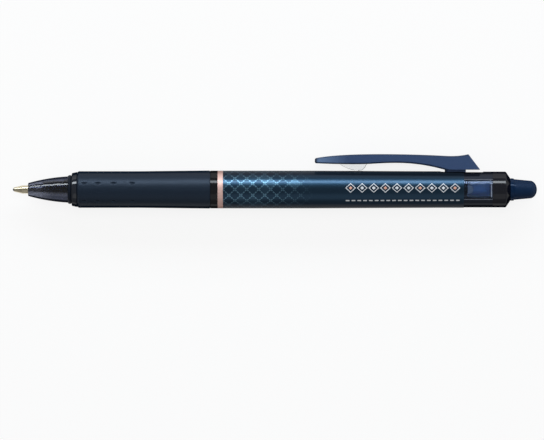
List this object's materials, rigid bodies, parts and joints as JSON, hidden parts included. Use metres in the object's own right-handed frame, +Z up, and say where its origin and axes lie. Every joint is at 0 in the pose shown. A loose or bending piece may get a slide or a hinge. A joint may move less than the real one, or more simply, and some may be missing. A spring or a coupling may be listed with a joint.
{
  "type": "retractable marking pen",
  "caption": "Retractable fabric marking pen with a see-through nose, rubber grip, clip-operated click mechanism and a friction eraser at the tail.",
  "frame": {"origin": "on the pen's axis at the parting plane, where the front section's ring meets the barrel", "axes": "-X towards the writing tip, +X towards the eraser, +Z up from the table the pen lies on, and the clip lies on the +Y side, a little below the axis"},
  "size_m": [0.1449, 0.0154, 0.0106],
  "materials": {
    "smoke_plastic": "smoke-tinted clear polycarbonate, polished",
    "black_plastic": "black moulded plastic, glossy",
    "grip_rubber": "charcoal-navy elastomer, satin",
    "rose_metal": "rose-gold plated and polished",
    "print_film": "metallic blue foil print under clear lacquer",
    "clip_plastic": "navy moulded plastic, satin gloss",
    "clear_plastic": "water-clear plastic, polished",
    "slider_plastic": "translucent blue plastic",
    "white_acetal": "natural white acetal",
    "eraser_rubber": "hard navy friction rubber, satin",
    "refill_plastic": "natural translucent polypropylene",
    "ink_gel": "blue heat-erasable gel",
    "grease": "clear amber follower grease",
    "tip_steel": "turned nickel silver",
    "ball_carbide": "polished carbide",
    "spring_steel": "drawn stainless spring wire"
  },
  "bodies": {
    "barrel": {"barrel_tube": "smoke_plastic", "barrel_skin": "print_film", "cam_sleeve": "black_plastic", "tail_cap": "smoke_plastic", "eraser": "eraser_rubber"},
    "trim": {"trim_ring": "rose_metal"},
    "front_section": {"nose_cone": "smoke_plastic", "nose_ring": "black_plastic", "grip_core": "smoke_plastic", "grip_sleeve": "grip_rubber", "grip_collar": "black_plastic", "return_spring": "spring_steel"},
    "clip_slide": {"clip": "clip_plastic", "clip_pad": "clear_plastic", "slider": "slider_plastic"},
    "ratchet": {"rotor": "white_acetal"},
    "refill": {"tip_body": "tip_steel", "writing_ball": "ball_carbide", "tip_holder": "refill_plastic", "refill_tube": "refill_plastic", "ink": "ink_gel", "ink_follower": "grease", "tail_plug": "refill_plastic"}
  },
  "joints": [
    {"name": "clip_press", "type": "slide", "parent": "barrel", "child": "clip_slide", "axis": [-1, 0, 0], "range_m": [-0.0046, 0.0012]},
    {"name": "rotor_turn", "type": "hinge", "parent": "clip_slide", "child": "ratchet", "pos_m": [0.055, 0, 0], "axis": [-1, 0, 0], "continuous": true},
    {"name": "front_advance", "type": "slide", "parent": "barrel", "child": "trim", "axis": [-1, 0, 0], "range_m": [0, 0.0045]},
    {"name": "front_unscrew", "type": "hinge", "parent": "trim", "child": "front_section", "pos_m": [0, 0, 0], "axis": [-1, 0, 0], "range_deg": [0, 1080]},
    {"name": "refill_travel", "type": "slide", "parent": "front_section", "child": "refill", "axis": [-1, 0, 0], "range_m": [-0.0046, 0.0012], "deforming": ["return_spring"]}
  ],
  "couplings": [
    {"joint": "refill_travel", "follows": "clip_press", "ratio": 1},
    {"joint": "front_unscrew", "follows": "front_advance", "rad_per_m": 4188.8}
  ]
}
